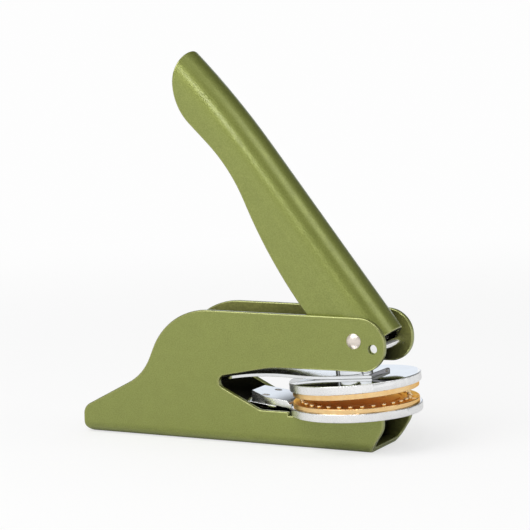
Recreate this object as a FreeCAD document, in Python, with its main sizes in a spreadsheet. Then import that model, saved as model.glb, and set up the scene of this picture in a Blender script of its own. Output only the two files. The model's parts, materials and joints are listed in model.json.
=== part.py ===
"""Seal embosser: a folded frame, a folded lever with a cam, and a removable die clip.

Millimetres, +X towards the dies, +Y across, +Z up. The origin lies on the floor that the
frame stands on, straight below the centre of the dies. Everything is shown open, with the
lever resting on its stop pin.
"""
import FreeCAD, Part
import math
import os
import re

import Sketcher

SIZES = [
    # Frame: one sheet folded into a channel, with the two cheeks cut to a side profile.
    ("frame_width", 24.7),
    ("sheet", 2.0),
    ("bend_inside", 2.0),
    ("frame_rear", 97.0),
    ("floor_front", 9.3),
    ("nose_height", 8.7),
    ("nose_foot_radius", 3.0),
    ("nose_top_radius", 4.2),
    ("ramp_angle", 27.6),
    ("ramp_radius", 18.0),
    ("shoulder_foot", 73.2),
    ("shoulder_angle", 66.0),
    ("shoulder_radius", 22.8),
    ("cheek_height", 44.1),
    ("arm_front", 15.5),
    ("arm_bottom", 26.8),
    ("arm_top_radius", 8.8),
    ("arm_lip_radius", 8.0),
    ("jaw_front", 14.5),
    ("jaw_corner_height", 8.2),
    ("jaw_corner_radius", 6.0),
    ("seat_height", 11.35),
    ("seat_gap", 0.2),
    ("ledge_height", 11.9),
    ("ledge_rear", 29.4),
    ("ledge_radius", 3.0),
    ("mouth_apex", 49.0),
    ("mouth_apex_height", 21.3),
    ("mouth_end_radius", 2.2),
    ("brow_rear", 25.0),
    ("brow_height", 26.2),
    ("brow_radius", 30.0),
    # Pivot rivet and stop pin.
    ("pivot_x", 4.8),
    ("pivot_z", 36.5),
    ("pivot_radius", 1.8),
    ("pivot_head_radius", 2.6),
    ("pivot_head_height", 1.2),
    ("stop_x", 11.3),
    ("stop_z", 34.2),
    ("stop_radius", 1.6),
    ("stop_recess", 1.1),
    ("stop_chamfer", 0.2),
    ("stop_clearance", 0.1),
    ("press_clearance", 0.02),
    ("hairline", 0.05),
    ("running_clearance", 0.05),
    # Lever: one sheet folded over a half-round spine, in a frame of its own at the pivot.
    ("lever_angle", 52.2),
    ("lever_side_gap", 0.45),
    ("lever_sheet", 2.0),
    ("spine_height", 10.4),
    ("lever_straight", 70.0),
    ("spine_curve_radius", 288.0),
    ("lever_depth", 9.4),
    ("heel_radius", 4.0),
    ("belly_corner", 37.7),
    ("belly_angle", 13.3),
    ("belly_radius", 165.0),
    ("grip_corner", 70.4),
    ("grip_angle", 8.0),
    ("grip_radius", 60.0),
    ("tail_corner", 105.4),
    ("tip_angle", 67.9),
    ("tip_radius", 19.0),
    ("washer_radius", 5.0),
    # Cam: an eccentric round face that bears on the press boss.
    ("cam_side_gap", 0.1),
    ("cam_clearance", 0.1),
    ("cam_setback", 0.35),
    ("cam_rear", 12.5),
    ("cam_top", 4.0),
    ("cam_heel", 6.5),
    ("cam_shoulder_radius", 5.5),
    ("cam_rivet_x", 5.4),
    ("cam_rivet_z", 5.3),
    ("cam_rivet_radius", 1.5),
    ("cam_rivet_chamfer", 0.25),
    ("lever_travel", 33.4),
    # Die clip: lower holder, spring strip and upper holder, each with a die.
    ("seat_tilt", 2.15),
    ("slide_clearance", 0.05),
    ("holder_rim", 0.9),
    ("holder_edge", 0.35),
    ("lower_thickness", 2.76),
    ("die_radius", 20.65),
    ("die_edge", 0.25),
    ("lower_die_thickness", 1.5),
    ("tail_width", 14.9),
    ("tail_thickness", 2.45),
    ("tail_overlap", 0.05),
    ("tail_lift", 1.55),
    ("tail_angle", 8.25),
    ("tail_length", 15.65),
    ("tail_corner_length", 7.5),
    ("tail_corner_depth", 5.2),
    ("upper_height", 23.05),
    ("upper_setback", 0.61),
    ("upper_tilt", 4.68),
    ("upper_thickness", 2.9),
    ("upper_die_thickness", 1.78),
    ("strip_width", 14.9),
    ("strip_thickness", 1.1),
    ("strip_leave", 11.2),
    ("strip_crest", 32.0),
    ("strip_crest_height", 2.23),
    ("strip_bow_radius", 95.0),
    ("hairpin_x", 59.6),
    ("hairpin_z", 15.5),
    ("hairpin_radius", 2.0),
    ("strip_overlap", 11.4),
    ("clip_rivet_inset", 6.2),
    ("clip_rivet_y", 4.6),
    ("clip_rivet_radius", 1.1),
    ("clip_head_radius", 1.8),
    ("clip_head_height", 0.7),
    ("strip_front", 9.3),
    ("lug_offset", 5.5),
    ("lug_length", 5.85),
    ("lug_height", 1.7),
    ("lug_angle", 14.0),
    ("lug_hole_radius", 0.35),
    ("boss_radius", 6.15),
    ("boss_height", 3.7),
    ("boss_chamfer", 0.6),
    ("spigot_radius", 2.5),
    ("spigot_recess", 0.1),
    # Engraving of the dies: a plain ring and a ring of dots.
    ("dot_ring_inset", 3.05),
    ("dot_radius", 0.75),
    ("dot_depth", 0.7),
    ("dot_relief", 0.5),
    ("dot_clearance", 0.25),
    ("groove_inset", 6.45),
    ("groove_width", 0.8),
    # Catch spring on the frame's floor.
    ("catch_inset", 5.2),
    ("catch_length", 27.0),
    ("catch_rise_length", 16.0),
    ("catch_nose_length", 4.5),
    ("catch_drop", 1.6),
    ("catch_width", 4.6),
    ("catch_thickness", 0.6),
    ("catch_bend_radius", 3.0),
    ("catch_rivet_inset", 5.0),
    ("catch_rivet_radius", 1.4),
    ("catch_head_radius", 2.2),
    ("catch_head_height", 0.9),
    ("catch_rivet_recess", 0.1),
]
DOT_COUNT = 30

X_AXIS = FreeCAD.Vector(1, 0, 0)
Y_AXIS = FreeCAD.Vector(0, 1, 0)
Z_AXIS = FreeCAD.Vector(0, 0, 1)

doc = FreeCAD.newDocument("seal_embosser")
sheet = doc.addObject("Spreadsheet::Sheet", "Sizes")
for row, (alias, value) in enumerate(SIZES, start=1):
    sheet.set(f"A{row}", alias)
    sheet.set(f"B{row}", str(value))
    sheet.setAlias(f"B{row}", alias)
doc.recompute()
ALIASES = {alias for alias, value in SIZES}


# ---------------------------------------------------------------- expressions and sketches
def bound(expression):
    """Put the sheet's name before each size in an expression, and let angles be degrees."""
    def with_sheet(match):
        word = match.group()
        if word not in ALIASES:
            return word
        is_angle = word.endswith(("_angle", "_tilt", "_travel"))
        return f"(Sizes.{word} * 1deg)" if is_angle else f"Sizes.{word}"
    return re.sub(r"[a-z_]+", with_sheet, expression)


def number(expression):
    """Value of an expression now, for the first drawing of a sketch."""
    result = sheet.evalExpression(bound(expression))
    return float(getattr(result, "Value", result))


def new_body(label, at=("0", "0"), turn="0"):
    """A body at (x, z) in the plane of symmetry, turned about +Y by an angle."""
    body = doc.addObject("PartDesign::Body", label)
    body.Placement = FreeCAD.Placement(FreeCAD.Vector(), FreeCAD.Rotation(Y_AXIS, 10))
    body.setExpression(".Placement.Base.x", bound(at[0]))
    body.setExpression(".Placement.Base.z", bound(at[1]))
    body.setExpression(".Placement.Rotation.Angle", bound(turn))
    return body


def datum(body, role):
    """The body's own origin plane or axis with this role."""
    return next(item for item in body.Origin.OriginFeatures if item.Role == role)


def new_sketch(body, name, role, offset=None):
    """A sketch on an origin plane, moved along the plane's normal by an expression."""
    sketch = body.newObject("Sketcher::SketchObject", name)
    sketch.AttachmentSupport = (datum(body, role), [""])
    sketch.MapMode = "FlatFace"
    if offset:
        sketch.setExpression(".AttachmentOffset.Base.z", bound(offset))
    return sketch


def fix(sketch, geometry, point, x, y):
    """Hold a point at (x, y), both expressions."""
    for kind, value in (("DistanceX", x), ("DistanceY", y)):
        place = Sketcher.Constraint(kind, -1, 1, geometry, point, number(value))
        sketch.setExpression(f"Constraints[{sketch.addConstraint(place)}]", bound(value))


def set_radius(sketch, geometry, radius):
    index = sketch.addConstraint(Sketcher.Constraint("Radius", geometry, number(radius)))
    sketch.setExpression(f"Constraints[{index}]", bound(radius))


def add_circle(sketch, x, y, radius):
    center = FreeCAD.Vector(number(x), number(y), 0)
    circle = sketch.addGeometry(Part.Circle(center, Z_AXIS, number(radius)), False)
    fix(sketch, circle, 3, x, y)
    set_radius(sketch, circle, radius)


def corner_arc(corner, before, after, radius):
    """Arc of this radius in a corner: its geometry and its ends towards both neighbours."""
    to_before = (before - corner).normalize()
    to_after = (after - corner).normalize()
    half = to_before.getAngle(to_after) / 2
    reach = radius / math.tan(half)
    start = corner + to_before * reach
    end = corner + to_after * reach
    center = corner + (to_before + to_after).normalize() * (radius / math.sin(half))
    angle = [math.atan2(p.y - center.y, p.x - center.x) for p in (start, end)]
    turns_left = to_before.cross(to_after).z < 0
    ends = (1, 2) if turns_left else (2, 1)
    if not turns_left:
        angle.reverse()
    circle = Part.Circle(center, Z_AXIS, radius)
    return Part.ArcOfCircle(circle, angle[0], angle[1]), start, end, ends


def bulge_arc(start, end, radius):
    """Arc of this radius from start to end, bulging to the right of the way it goes."""
    chord = end - start
    left = FreeCAD.Vector(-chord.y, chord.x, 0).normalize()
    rise = math.sqrt(radius ** 2 - (chord.Length / 2) ** 2)
    center = (start + end) * 0.5 + left * rise
    angle = [math.atan2(p.y - center.y, p.x - center.x) for p in (start, end)]
    return Part.ArcOfCircle(Part.Circle(center, Z_AXIS, radius), angle[0], angle[1])


def add_outline(sketch, corners, closed=True, bulges=None):
    """Draw an outline through corners (x, y) or (x, y, radius), all as expressions.

    A corner with a radius is rounded, and bulges gives the radius of each side that is an
    arc, by the number of the corner that it starts from.
    """
    bulges = bulges or {}
    count = len(corners)
    points = [FreeCAD.Vector(number(c[0]), number(c[1]), 0) for c in corners]
    starts, ends, rounds = list(points), list(points), {}
    for i, corner in enumerate(corners):
        if len(corner) == 3:
            before, after = points[i - 1], points[(i + 1) % count]
            arc, starts[i], ends[i], arc_ends = corner_arc(points[i], before, after,
                                                           number(corner[2]))
            rounds[i] = (sketch.addGeometry(arc, False), arc_ends)
    sides = {}
    for i in range(count if closed else count - 1):
        start, end = ends[i], starts[(i + 1) % count]
        if i in bulges:
            side = bulge_arc(start, end, number(bulges[i]))
        else:
            side = Part.LineSegment(start, end)
        sides[i] = sketch.addGeometry(side, False)
    for i, corner in enumerate(corners):
        before, after = sides.get((i - 1) % count), sides.get(i)
        if i in rounds:
            arc, (arc_start, arc_end) = rounds[i]
            sketch.addConstraint(Sketcher.Constraint("Tangent", before, 2, arc, arc_start))
            sketch.addConstraint(Sketcher.Constraint("Tangent", arc, arc_end, after, 1))
            tip = sketch.addGeometry(Part.Point(points[i]), True)
            for side in (before, after):
                sketch.addConstraint(Sketcher.Constraint("PointOnObject", tip, 1, side))
            fix(sketch, tip, 1, corner[0], corner[1])
            set_radius(sketch, arc, corner[2])
        elif before is None:
            fix(sketch, after, 1, corner[0], corner[1])
        else:
            if after is not None:
                join = Sketcher.Constraint("Coincident", before, 2, after, 1)
                sketch.addConstraint(join)
            fix(sketch, before, 2, corner[0], corner[1])
    for i, radius in bulges.items():
        set_radius(sketch, sides[i], radius)
    return sides


def add_center_line(sketch, side):
    """A construction line along one side of an outline, to turn the sketch about."""
    line = sketch.addGeometry(sketch.Geometry[side], True)
    for end in (1, 2):
        sketch.addConstraint(Sketcher.Constraint("Coincident", line, end, side, end))


def add_box_outline(sketch, x_low, x_high, y_low, y_high):
    add_outline(sketch, [(x_low, y_low), (x_high, y_low), (x_high, y_high), (x_low, y_high)])


# ---------------------------------------------------------------- features
def volume_of(body):
    doc.recompute()
    return body.Shape.Volume


def add_pad(body, sketch, length, back=None, symmetric=False):
    """Pad a sketch forward, forward and back, or evenly to both sides."""
    pad = body.newObject("PartDesign::Pad", sketch.Name + "_pad")
    pad.Profile = sketch
    pad.setExpression("Length", bound(length))
    if symmetric:
        pad.SideType = "Symmetric"
    if back:
        pad.SideType = "Two sides"
        pad.setExpression("Length2", bound(back))
    doc.recompute()
    return pad


def add_pocket(body, sketch, length, reverse=False, symmetric=True):
    """Cut a sketch out of the body, and make sure that it does cut."""
    before = volume_of(body)
    pocket = body.newObject("PartDesign::Pocket", sketch.Name + "_pocket")
    pocket.Profile = sketch
    if symmetric:
        pocket.SideType = "Symmetric"
    pocket.Reversed = reverse
    pocket.setExpression("Length", bound(length))
    if volume_of(body) >= before:
        raise RuntimeError(f"{pocket.Name} cuts nothing")
    return pocket


def add_turning(body, sketch, role=None, kind="Revolution"):
    """Turn a sketch about an origin axis, or about its own construction line, to add or cut."""
    before = volume_of(body) if kind == "Groove" else 0
    turning = body.newObject("PartDesign::" + kind, sketch.Name + "_turning")
    turning.Profile = sketch
    if role:
        turning.ReferenceAxis = (datum(body, role), [""])
    else:
        turning.ReferenceAxis = (sketch, ["Axis0"])
    turning.Angle = 360
    if kind == "Groove" and volume_of(body) >= before:
        raise RuntimeError(f"{turning.Name} cuts nothing")
    doc.recompute()
    return turning


def add_pipe(body, name, section, path):
    """Sweep a section along a path of lines and tangent arcs."""
    pipe = body.newObject("PartDesign::AdditivePipe", name)
    pipe.Profile = section
    pipe.Spine = (path, [])
    doc.recompute()
    return pipe


def add_ring_pattern(body, feature, count):
    """Repeat a feature around the body's Z axis."""
    ring = body.newObject("PartDesign::PolarPattern", feature.Name + "_ring")
    ring.Originals = [feature]
    ring.Axis = (datum(body, "Z_Axis"), [""])
    ring.Angle = 360
    ring.Occurrences = count
    body.Tip = ring
    doc.recompute()


def add_mirror(body, features):
    """Repeat features on the other side of the plane of symmetry."""
    mirror = body.newObject("PartDesign::Mirrored", features[0].Name + "_mirror")
    mirror.Originals = features
    mirror.MirrorPlane = (datum(body, "XZ_Plane"), [""])
    body.Tip = mirror
    doc.recompute()


def add_edge_feature(body, kind, name, size_name, size, chosen):
    """Fillet or chamfer the edges of the body's last feature that a test chooses."""
    base = body.Tip
    edges = [f"Edge{i}" for i, edge in enumerate(base.Shape.Edges, start=1) if chosen(edge)]
    feature = body.newObject("PartDesign::" + kind, name)
    feature.Base = (base, edges)
    feature.setExpression(size_name, bound(size))
    doc.recompute()


def turned_body(label, corners, role="Z_Axis", at=("0", "0"), turn="0", bulges=None):
    """A body turned about one of its axes from an outline in its XZ plane."""
    body = new_body(label, at, turn)
    sketch = new_sketch(body, label + "_half", "XZ_Plane")
    add_outline(sketch, corners, bulges=bulges)
    add_turning(body, sketch, role)
    return body


# ---------------------------------------------------------------- places shared by the parts
REACH = "(2 * frame_rear)"
INNER_HALF = "(frame_width / 2 - sheet)"
HOLDER_RADIUS = "(die_radius + holder_rim)"
SEAT_REAR = f"(sqrt({HOLDER_RADIUS} ^ 2 - {INNER_HALF} ^ 2) + seat_gap)"
TAIL_BEND = f"({HOLDER_RADIUS} - tail_overlap)"
TAIL_REACH = f"({HOLDER_RADIUS} + tail_length)"
CLIP_RIVET = f"({TAIL_REACH} - clip_rivet_inset)"
CATCH_CREST = f"({TAIL_REACH} - catch_inset)"
CATCH_REAR = f"({CATCH_CREST} + catch_length)"
CATCH_RIVET = f"({CATCH_REAR} - catch_rivet_inset)"
LEVER_FRONT = ("((stop_x - pivot_x) * cos(lever_angle) - (stop_z - pivot_z) * sin(lever_angle)"
               " - stop_radius - stop_clearance)")
LEVER_HALF = f"({INNER_HALF} - lever_side_gap)"
CAM_WIDTH = f"(2 * ({LEVER_HALF} - lever_sheet - cam_side_gap))"
SPINE_CENTER = f"(spine_height - {LEVER_HALF})"
PIVOT = ("pivot_x", "pivot_z")
LEVER_FRAME = {"at": PIVOT, "turn": "lever_angle"}
LOWER_HEIGHT = "(seat_height + slide_clearance)"
LOWER_FRAME = {"at": ("0", LOWER_HEIGHT), "turn": "-seat_tilt"}
UPPER_FRAME = {"at": ("-upper_setback", "upper_height"), "turn": "-upper_tilt"}
CLOSING = "(upper_tilt - seat_tilt)"


def seat_line(x):
    """Height of the inclined seat that the die clip slides on."""
    return f"(seat_height + ({x}) * tan(seat_tilt))"


def tail_underside(reach):
    """Height of the tail's underside above the lower holder's, this far behind the axis."""
    return f"(tail_lift + ({reach} - {TAIL_BEND}) * tan(tail_angle))"


def lower_in_world(x, z):
    """Place in the frame of the whole object of a point of the lower holder's frame."""
    return (f"(({x}) * cos(seat_tilt) - ({z}) * sin(seat_tilt))",
            f"({LOWER_HEIGHT} + ({x}) * sin(seat_tilt) + ({z}) * cos(seat_tilt))")


def lower_in_upper(x, z):
    """Place in the upper holder's frame of a point of the lower holder's frame."""
    world = lower_in_world(x, z)
    return world_in_upper(world[0], world[1])


def world_in_upper(x, z):
    """Place in the upper holder's frame of a point of the whole object's frame."""
    run, rise = f"(({x}) + upper_setback)", f"(({z}) - upper_height)"
    return (f"({run} * cos(upper_tilt) + {rise} * sin(upper_tilt))",
            f"({rise} * cos(upper_tilt) - {run} * sin(upper_tilt))")


# ---------------------------------------------------------------- frame
def make_frame_channel():
    """Channel folded from one sheet, with cheeks cut to the side profile and drilled."""
    body = new_body("frame_channel")
    half, inner = "frame_width / 2", INNER_HALF
    section = new_sketch(body, "frame_section", "YZ_Plane")
    add_outline(section, [
        (f"-{half}", "0", "bend_inside + sheet"), (half, "0", "bend_inside + sheet"),
        (half, "cheek_height"), (inner, "cheek_height"), (inner, "sheet", "bend_inside"),
        (f"-{inner}", "sheet", "bend_inside"), (f"-{inner}", "cheek_height"),
        (f"-{half}", "cheek_height")])
    add_pad(body, section, "max(jaw_front; arm_front) + sheet", back="frame_rear")

    ramp_end = "(nose_height + (frame_rear - shoulder_foot) * tan(ramp_angle))"
    shoulder_top = f"((cheek_height - {ramp_end}) / tan(shoulder_angle) - shoulder_foot)"
    shoulder_length = f"((cheek_height - {ramp_end}) / sin(shoulder_angle))"
    shoulder_room = (f"(({shoulder_length} - ramp_radius * tan((shoulder_angle - ramp_angle) / 2))"
                     " / tan(shoulder_angle / 2) - hairline)")
    arm_room = "(cheek_height - arm_bottom - arm_lip_radius - hairline)"
    profile = new_sketch(body, "frame_profile", "XZ_Plane")
    add_box_outline(profile, f"-{REACH}", REACH, "-cheek_height", "2 * cheek_height")
    add_outline(profile, [
        ("-frame_rear", "0", "nose_foot_radius"), ("floor_front", "0"),
        ("jaw_front", "jaw_corner_height", "jaw_corner_radius"),
        ("jaw_front", seat_line("jaw_front")), (f"-{SEAT_REAR}", seat_line(f"-{SEAT_REAR}")),
        (f"-{SEAT_REAR}", "ledge_height"), ("-ledge_rear", "ledge_height", "ledge_radius"),
        ("-mouth_apex", "mouth_apex_height", "mouth_end_radius"),
        ("-brow_rear", "brow_height", "brow_radius"),
        ("arm_front", "arm_bottom", "arm_lip_radius"),
        ("arm_front", "cheek_height", f"min(arm_top_radius; {arm_room})"),
        (shoulder_top, "cheek_height", f"min(shoulder_radius; {shoulder_room})"),
        ("-shoulder_foot", ramp_end, "ramp_radius"),
        ("-frame_rear", "nose_height", "nose_top_radius")])
    add_pocket(body, profile, "2 * frame_width")

    cheek_holes = new_sketch(body, "cheek_holes", "XZ_Plane")
    add_circle(cheek_holes, "pivot_x", "pivot_z", "pivot_radius + press_clearance")
    add_circle(cheek_holes, "stop_x", "stop_z", "stop_radius + press_clearance")
    add_pocket(body, cheek_holes, "2 * frame_width")
    floor_hole = new_sketch(body, "floor_hole", "XY_Plane")
    add_circle(floor_hole, f"-{CATCH_RIVET}", "0", "catch_rivet_radius + press_clearance")
    add_pocket(body, floor_hole, "3 * sheet")


def make_pivot_rivet():
    """Rivet across both cheeks, with a domed head on each side."""
    half, head = "frame_width / 2", "(frame_width / 2 + pivot_head_height)"
    dome = "((pivot_head_radius ^ 2 + pivot_head_height ^ 2) / (2 * pivot_head_height))"
    body = new_body("pivot_rivet", PIVOT)
    sketch = new_sketch(body, "rivet_half", "YZ_Plane")
    add_outline(sketch, [
        (f"-{head}", "0"), (head, "0"), (half, "pivot_head_radius"), (half, "pivot_radius"),
        (f"-{half}", "pivot_radius"), (f"-{half}", "pivot_head_radius")],
        bulges={1: dome, 5: dome})
    add_turning(body, sketch, "Y_Axis")


def make_stop_pin():
    """Plain pin across the cheeks, just below flush, that the open lever rests on."""
    end = "(frame_width / 2 - stop_recess)"
    body = new_body("stop_pin", ("stop_x", "stop_z"))
    sketch = new_sketch(body, "stop_half", "YZ_Plane")
    add_outline(sketch, [
        (f"-{end}", "0"), (end, "0"), (end, "stop_radius - stop_chamfer"),
        (f"{end} - stop_chamfer", "stop_radius"), (f"stop_chamfer - {end}", "stop_radius"),
        (f"-{end}", "stop_radius - stop_chamfer")])
    add_turning(body, sketch, "Y_Axis")


# ---------------------------------------------------------------- lever
def make_lever_channel():
    """Sheet folded over a half-round spine, swept along the lever and cut to its profile."""
    body = new_body("lever_channel", **LEVER_FRAME)
    outer, inner = LEVER_HALF, f"({LEVER_HALF} - lever_sheet)"
    low = "(-2 * lever_depth)"
    section = new_sketch(body, "lever_section", "YZ_Plane", LEVER_FRONT)
    wall = {}
    for side in (-1, 1):
        for name, reach in (("outer", outer), ("inner", inner)):
            x = number(f"{side} * {reach}")
            top = FreeCAD.Vector(x, number(SPINE_CENTER), 0)
            bottom = FreeCAD.Vector(x, number(low), 0)
            wall[side, name] = section.addGeometry(Part.LineSegment(bottom, top), False)
            fix(section, wall[side, name], 1, f"{side} * {reach}", low)
    center = FreeCAD.Vector(0, number(SPINE_CENTER), 0)
    for name, reach in (("outer", outer), ("inner", inner)):
        circle = Part.Circle(center, Z_AXIS, number(reach))
        arch = section.addGeometry(Part.ArcOfCircle(circle, 0, math.pi), False)
        for side, end in ((1, 1), (-1, 2)):
            meet = Sketcher.Constraint("Tangent", wall[side, name], 2, arch, end)
            section.addConstraint(meet)
        height = Sketcher.Constraint("DistanceY", -1, 1, arch, 3, number(SPINE_CENTER))
        section.setExpression(f"Constraints[{section.addConstraint(height)}]",
                              bound(SPINE_CENTER))
    for side in (-1, 1):
        ends = [FreeCAD.Vector(number(f"{side} * {reach}"), number(low), 0)
                for reach in (outer, inner)]
        edge = section.addGeometry(Part.LineSegment(ends[0], ends[1]), False)
        for end, name in ((1, "outer"), (2, "inner")):
            meet = Sketcher.Constraint("Coincident", edge, end, wall[side, name], 1)
            section.addConstraint(meet)

    droop = f"asin((tail_corner + 2 * {LEVER_HALF} - lever_straight) / spine_curve_radius)"
    path = new_sketch(body, "lever_path", "XZ_Plane")
    path_radius = f"(spine_curve_radius - {LEVER_HALF})"
    turn_reach = f"({path_radius} * tan({droop} / 2))"
    add_outline(path, [
        (LEVER_FRONT, SPINE_CENTER),
        (f"-lever_straight - {turn_reach}", SPINE_CENTER, path_radius),
        (f"-lever_straight - {turn_reach} - 1.05 * {turn_reach} * cos({droop})",
         f"{SPINE_CENTER} - 1.05 * {turn_reach} * sin({droop})")], closed=False)
    add_pipe(body, "lever_sweep", section, path)

    grip_height = "((grip_corner - belly_corner) * tan(belly_angle) - lever_depth)"
    tail_depth = f"({grip_height} - (tail_corner - grip_corner) * tan(grip_angle))"
    above = "(2 * spine_height)"
    tip_back = f"(tail_corner + ({above} - {tail_depth}) / tan(tip_angle))"
    profile = new_sketch(body, "lever_profile", "XZ_Plane")
    add_box_outline(profile, f"-{REACH}", REACH, "-3 * lever_depth", "3 * spine_height")
    add_outline(profile, [
        (LEVER_FRONT, above), (f"-{tip_back}", above),
        ("-tail_corner", tail_depth, "tip_radius"),
        ("-grip_corner", grip_height, "grip_radius"),
        ("-belly_corner", "-lever_depth", "belly_radius"),
        (LEVER_FRONT, "-lever_depth", "heel_radius")])
    add_pocket(body, profile, f"4 * {LEVER_HALF}")

    holes = new_sketch(body, "lever_holes", "XZ_Plane")
    add_circle(holes, "0", "0", "pivot_radius + running_clearance")
    add_circle(holes, "-cam_rivet_x", "-cam_rivet_z", "cam_rivet_radius + press_clearance")
    add_pocket(body, holes, f"4 * {LEVER_HALF}")


def make_lever_washers():
    """A thin washer on each side, between the lever and the cheek."""
    near = f"({LEVER_HALF} + running_clearance)"
    far = f"({INNER_HALF} - running_clearance)"
    body = new_body("lever_washers", PIVOT)
    body.AllowCompound = True
    sketch = new_sketch(body, "washer_half", "YZ_Plane")
    add_box_outline(sketch, near, far, "pivot_radius + running_clearance", "washer_radius")
    add_mirror(body, [add_turning(body, sketch, "Y_Axis")])


def make_press_cam():
    """Block inside the lever whose round lower face pushes the press boss down.

    The face stays on the boss while the lever closes: its centre lies behind the pivot by
    the cam's offset, and its radius is the distance from the pivot to the boss halfway.
    """
    ratio = f"({CLOSING} / lever_travel)"
    along = "((pivot_x + hairpin_x) * cos(upper_tilt) + (pivot_z - hairpin_z) * sin(upper_tilt))"
    offset = f"({ratio} / (1 + {ratio}) * {along})"
    half_sweep = "((lever_travel + upper_tilt - seat_tilt) / 2)"
    boss_top = "(strip_thickness + boss_height)"
    rest = f"({world_in_upper('pivot_x', 'pivot_z')[1]} - {boss_top})"
    radius = f"({rest} + {offset} * {half_sweep} / 1rad - cam_clearance)"
    eccentric = f"({offset} * {half_sweep} / 1rad / sin({half_sweep}))"
    toward = f"(180deg + lever_angle + upper_tilt - {half_sweep})"
    center = (f"({eccentric} * cos({toward}))", f"({eccentric} * sin({toward}))")
    front = "(lever_angle + upper_tilt - 90deg + 12deg)"
    rear = f"(lever_angle + upper_tilt - 90deg - 2 * {half_sweep} - 12deg)"
    face = f"({LEVER_FRONT} - cam_setback)"
    body = new_body("press_cam", **LEVER_FRAME)
    sketch = new_sketch(body, "cam_profile", "XZ_Plane")
    add_outline(sketch, [
        (f"{center[0]} + {radius} * cos({rear})", f"{center[1]} + {radius} * sin({rear})"),
        (f"{center[0]} + {radius} * cos({front})", f"{center[1]} + {radius} * sin({front})"),
        (face, "-cam_heel"), (face, "cam_top"), ("-cam_rear", "cam_top"),
        ("-cam_rear", "-cam_heel")], bulges={0: radius})
    add_pad(body, sketch, CAM_WIDTH, symmetric=True)
    top = number("cam_top")
    add_edge_feature(body, "Fillet", "cam_shoulders", "Radius", "cam_shoulder_radius",
                     lambda edge: edge.BoundBox.ZMin > top - 0.01 and edge.BoundBox.XLength > 1)
    holes = new_sketch(body, "cam_holes", "XZ_Plane")
    add_circle(holes, "0", "0", "pivot_radius + running_clearance")
    add_circle(holes, "-cam_rivet_x", "-cam_rivet_z", "cam_rivet_radius + press_clearance")
    add_pocket(body, holes, f"2 * {CAM_WIDTH}")


def make_cam_rivet():
    """Flush rivet that holds the cam in the lever."""
    end = LEVER_HALF
    body = new_body("cam_rivet", **LEVER_FRAME)
    sketch = new_sketch(body, "cam_rivet_end", "XZ_Plane")
    add_circle(sketch, "-cam_rivet_x", "-cam_rivet_z", "cam_rivet_radius")
    add_pad(body, sketch, f"2 * {end}", symmetric=True)
    add_edge_feature(body, "Chamfer", "cam_rivet_rims", "Size", "cam_rivet_chamfer",
                     lambda edge: edge.isClosed())


# ---------------------------------------------------------------- die clip, lower half
def add_tilted_hole(body, x, z, angle, y, radius, length):
    """A hole whose axis leans in the XZ plane, cut at +y and repeated at -y."""
    sketch = new_sketch(body, "tilted_hole_half", "XZ_Plane", f"-({y})")
    along = (f"sin({angle})", f"cos({angle})")
    across = (f"cos({angle})", f"-sin({angle})")
    corners = []
    for lengthwise, sideways in ((-0.5, 0), (0.5, 0), (0.5, 1), (-0.5, 1)):
        corners.append(tuple(
            f"({start}) + ({lengthwise} * {length}) * {a} + ({sideways} * ({radius})) * {c}"
            for start, a, c in zip((x, z), along, across)))
    add_center_line(sketch, add_outline(sketch, corners)[0])
    add_mirror(body, [add_turning(body, sketch, kind="Groove")])


def make_lower_holder():
    """Lower disc with its tail, which is bent up a little behind the disc."""
    body = new_body("lower_holder", **LOWER_FRAME)
    disc = new_sketch(body, "lower_disc_half", "XZ_Plane")
    add_outline(disc, [
        ("0", "0"), (HOLDER_RADIUS, "0", "holder_edge"),
        (HOLDER_RADIUS, "lower_thickness", "holder_edge"), ("0", "lower_thickness")])
    add_turning(body, disc, "Z_Axis")
    tail = new_sketch(body, "tail_profile", "XZ_Plane")
    top_bend = f"({TAIL_BEND} + tail_thickness * tan(tail_angle / 2))"
    foot = f"({TAIL_BEND} - tail_lift - holder_edge)"
    add_outline(tail, [
        (f"-{TAIL_REACH}", tail_underside(TAIL_REACH)),
        (f"-{TAIL_BEND}", "tail_lift", "tail_lift"),
        (f"-{foot}", "0"), (f"-{foot}", "lower_thickness"),
        ("-(die_radius + slide_clearance)", "lower_thickness"),
        (f"-{top_bend}", f"{tail_underside(top_bend)} + tail_thickness / cos(tail_angle)"),
        (f"-{TAIL_REACH}", f"{tail_underside(TAIL_REACH)} + tail_thickness / cos(tail_angle)")])
    add_pad(body, tail, "tail_width", symmetric=True)
    corners = new_sketch(body, "tail_corners", "XY_Plane")
    half = "(tail_width / 2)"
    add_outline(corners, [
        (f"-{TAIL_REACH}", f"tail_corner_depth - {half}"),
        (f"tail_corner_length - {TAIL_REACH}", f"-{half}"),
        (f"tail_corner_length - {TAIL_REACH}", f"-{half} - tail_thickness"),
        (f"-{TAIL_REACH} - tail_thickness", f"-{half} - tail_thickness"),
        (f"-{TAIL_REACH} - tail_thickness", f"tail_corner_depth - {half}")])
    add_pocket(body, corners, "8 * tail_thickness")
    add_tilted_hole(body, f"-{CLIP_RIVET}", tail_underside(CLIP_RIVET), "tail_angle",
                    "clip_rivet_y", "clip_rivet_radius + press_clearance",
                    "(3 * tail_thickness)")


def die_corners(low, high, face):
    """Half section of a die between two heights, with its groove on the face's side."""
    inner, outer = "(die_radius - groove_inset)", "(die_radius - groove_inset + groove_width)"
    if face == "top":
        floor = f"{high} - dot_relief / 2"
        return [("0", low), ("die_radius", low), ("die_radius", high, "die_edge"),
                (outer, high), (outer, floor), (inner, floor), (inner, high), ("0", high)]
    return [("0", low), (inner, low), (inner, f"{low} + dot_relief / 2"),
            (outer, f"{low} + dot_relief / 2"), (outer, low), ("die_radius", low, "die_edge"),
            ("die_radius", high), ("0", high)]


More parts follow.
